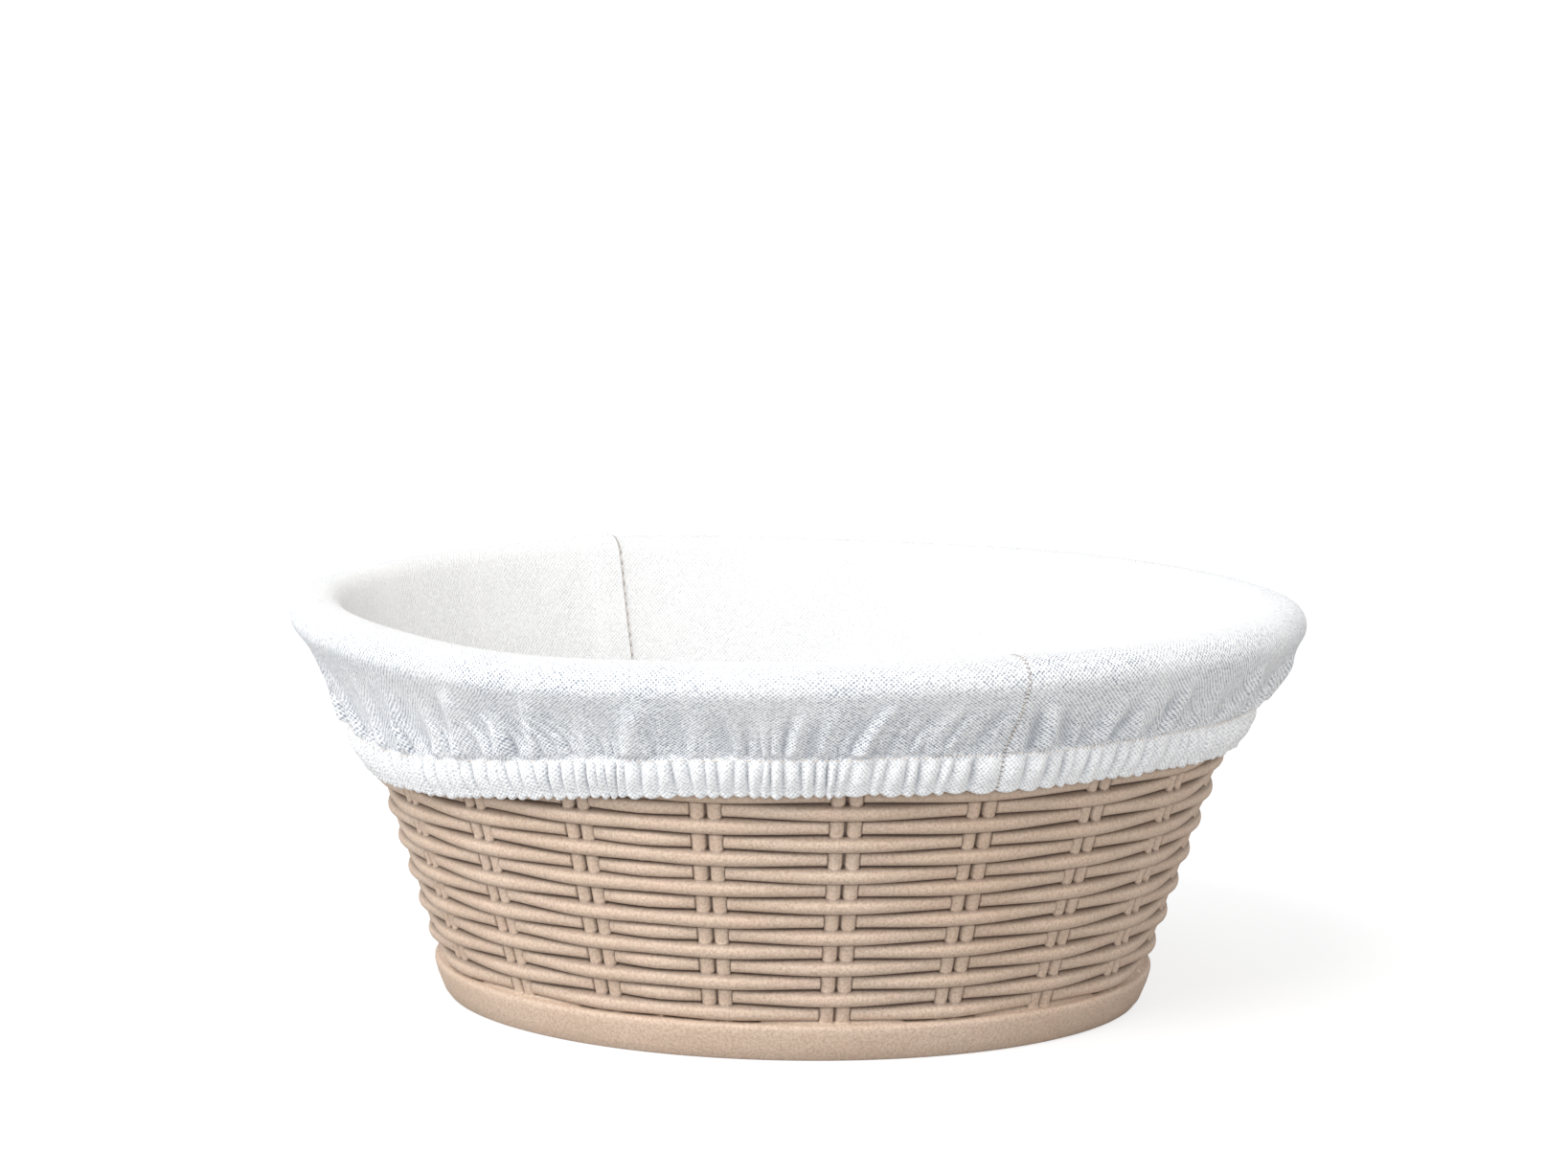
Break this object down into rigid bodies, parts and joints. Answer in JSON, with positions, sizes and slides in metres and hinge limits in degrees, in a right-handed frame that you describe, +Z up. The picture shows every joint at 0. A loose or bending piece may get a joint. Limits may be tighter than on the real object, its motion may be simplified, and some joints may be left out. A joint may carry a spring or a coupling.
{
  "type": "lined proofing basket",
  "caption": "Round plastic proofing basket with a woven-look wall and a removable cloth liner, elasticated under the rim, for shaping bread dough.",
  "frame": {"origin": "centre of the base ring, on the surface the basket stands on", "axes": "+Z up along the basket's axis, -Y towards the viewer of the front, +X to the viewer's right"},
  "size_m": [0.2192, 0.2192, 0.0866],
  "materials": {
    "plastic": "fine matte moulded polypropylene, beige",
    "cloth": "plain-weave unbleached white cotton",
    "elastic": "flat braided elastic",
    "thread": "ecru polyester sewing thread"
  },
  "bodies": {
    "basket": {"basket_shell": "plastic"},
    "liner": {"bottom_panel": "cloth", "side_panel_left": "cloth", "side_panel_right": "cloth", "skirt_left": "cloth", "skirt_right": "cloth", "hem_casing_left": "cloth", "hem_casing_right": "cloth", "elastic_band": "elastic", "bottom_seam_thread": "thread", "front_seam_thread": "thread", "back_seam_thread": "thread", "front_skirt_thread": "thread", "back_skirt_thread": "thread", "hem_thread": "thread"}
  },
  "joints": [
    {"name": "liner_lift", "type": "slide", "parent": "basket", "child": "liner", "axis": [0, 0, 1], "range_m": [0, 0.12], "deforming": ["skirt_left", "skirt_right", "hem_casing_left", "hem_casing_right", "elastic_band", "front_skirt_thread", "back_skirt_thread", "hem_thread"]}
  ]
}
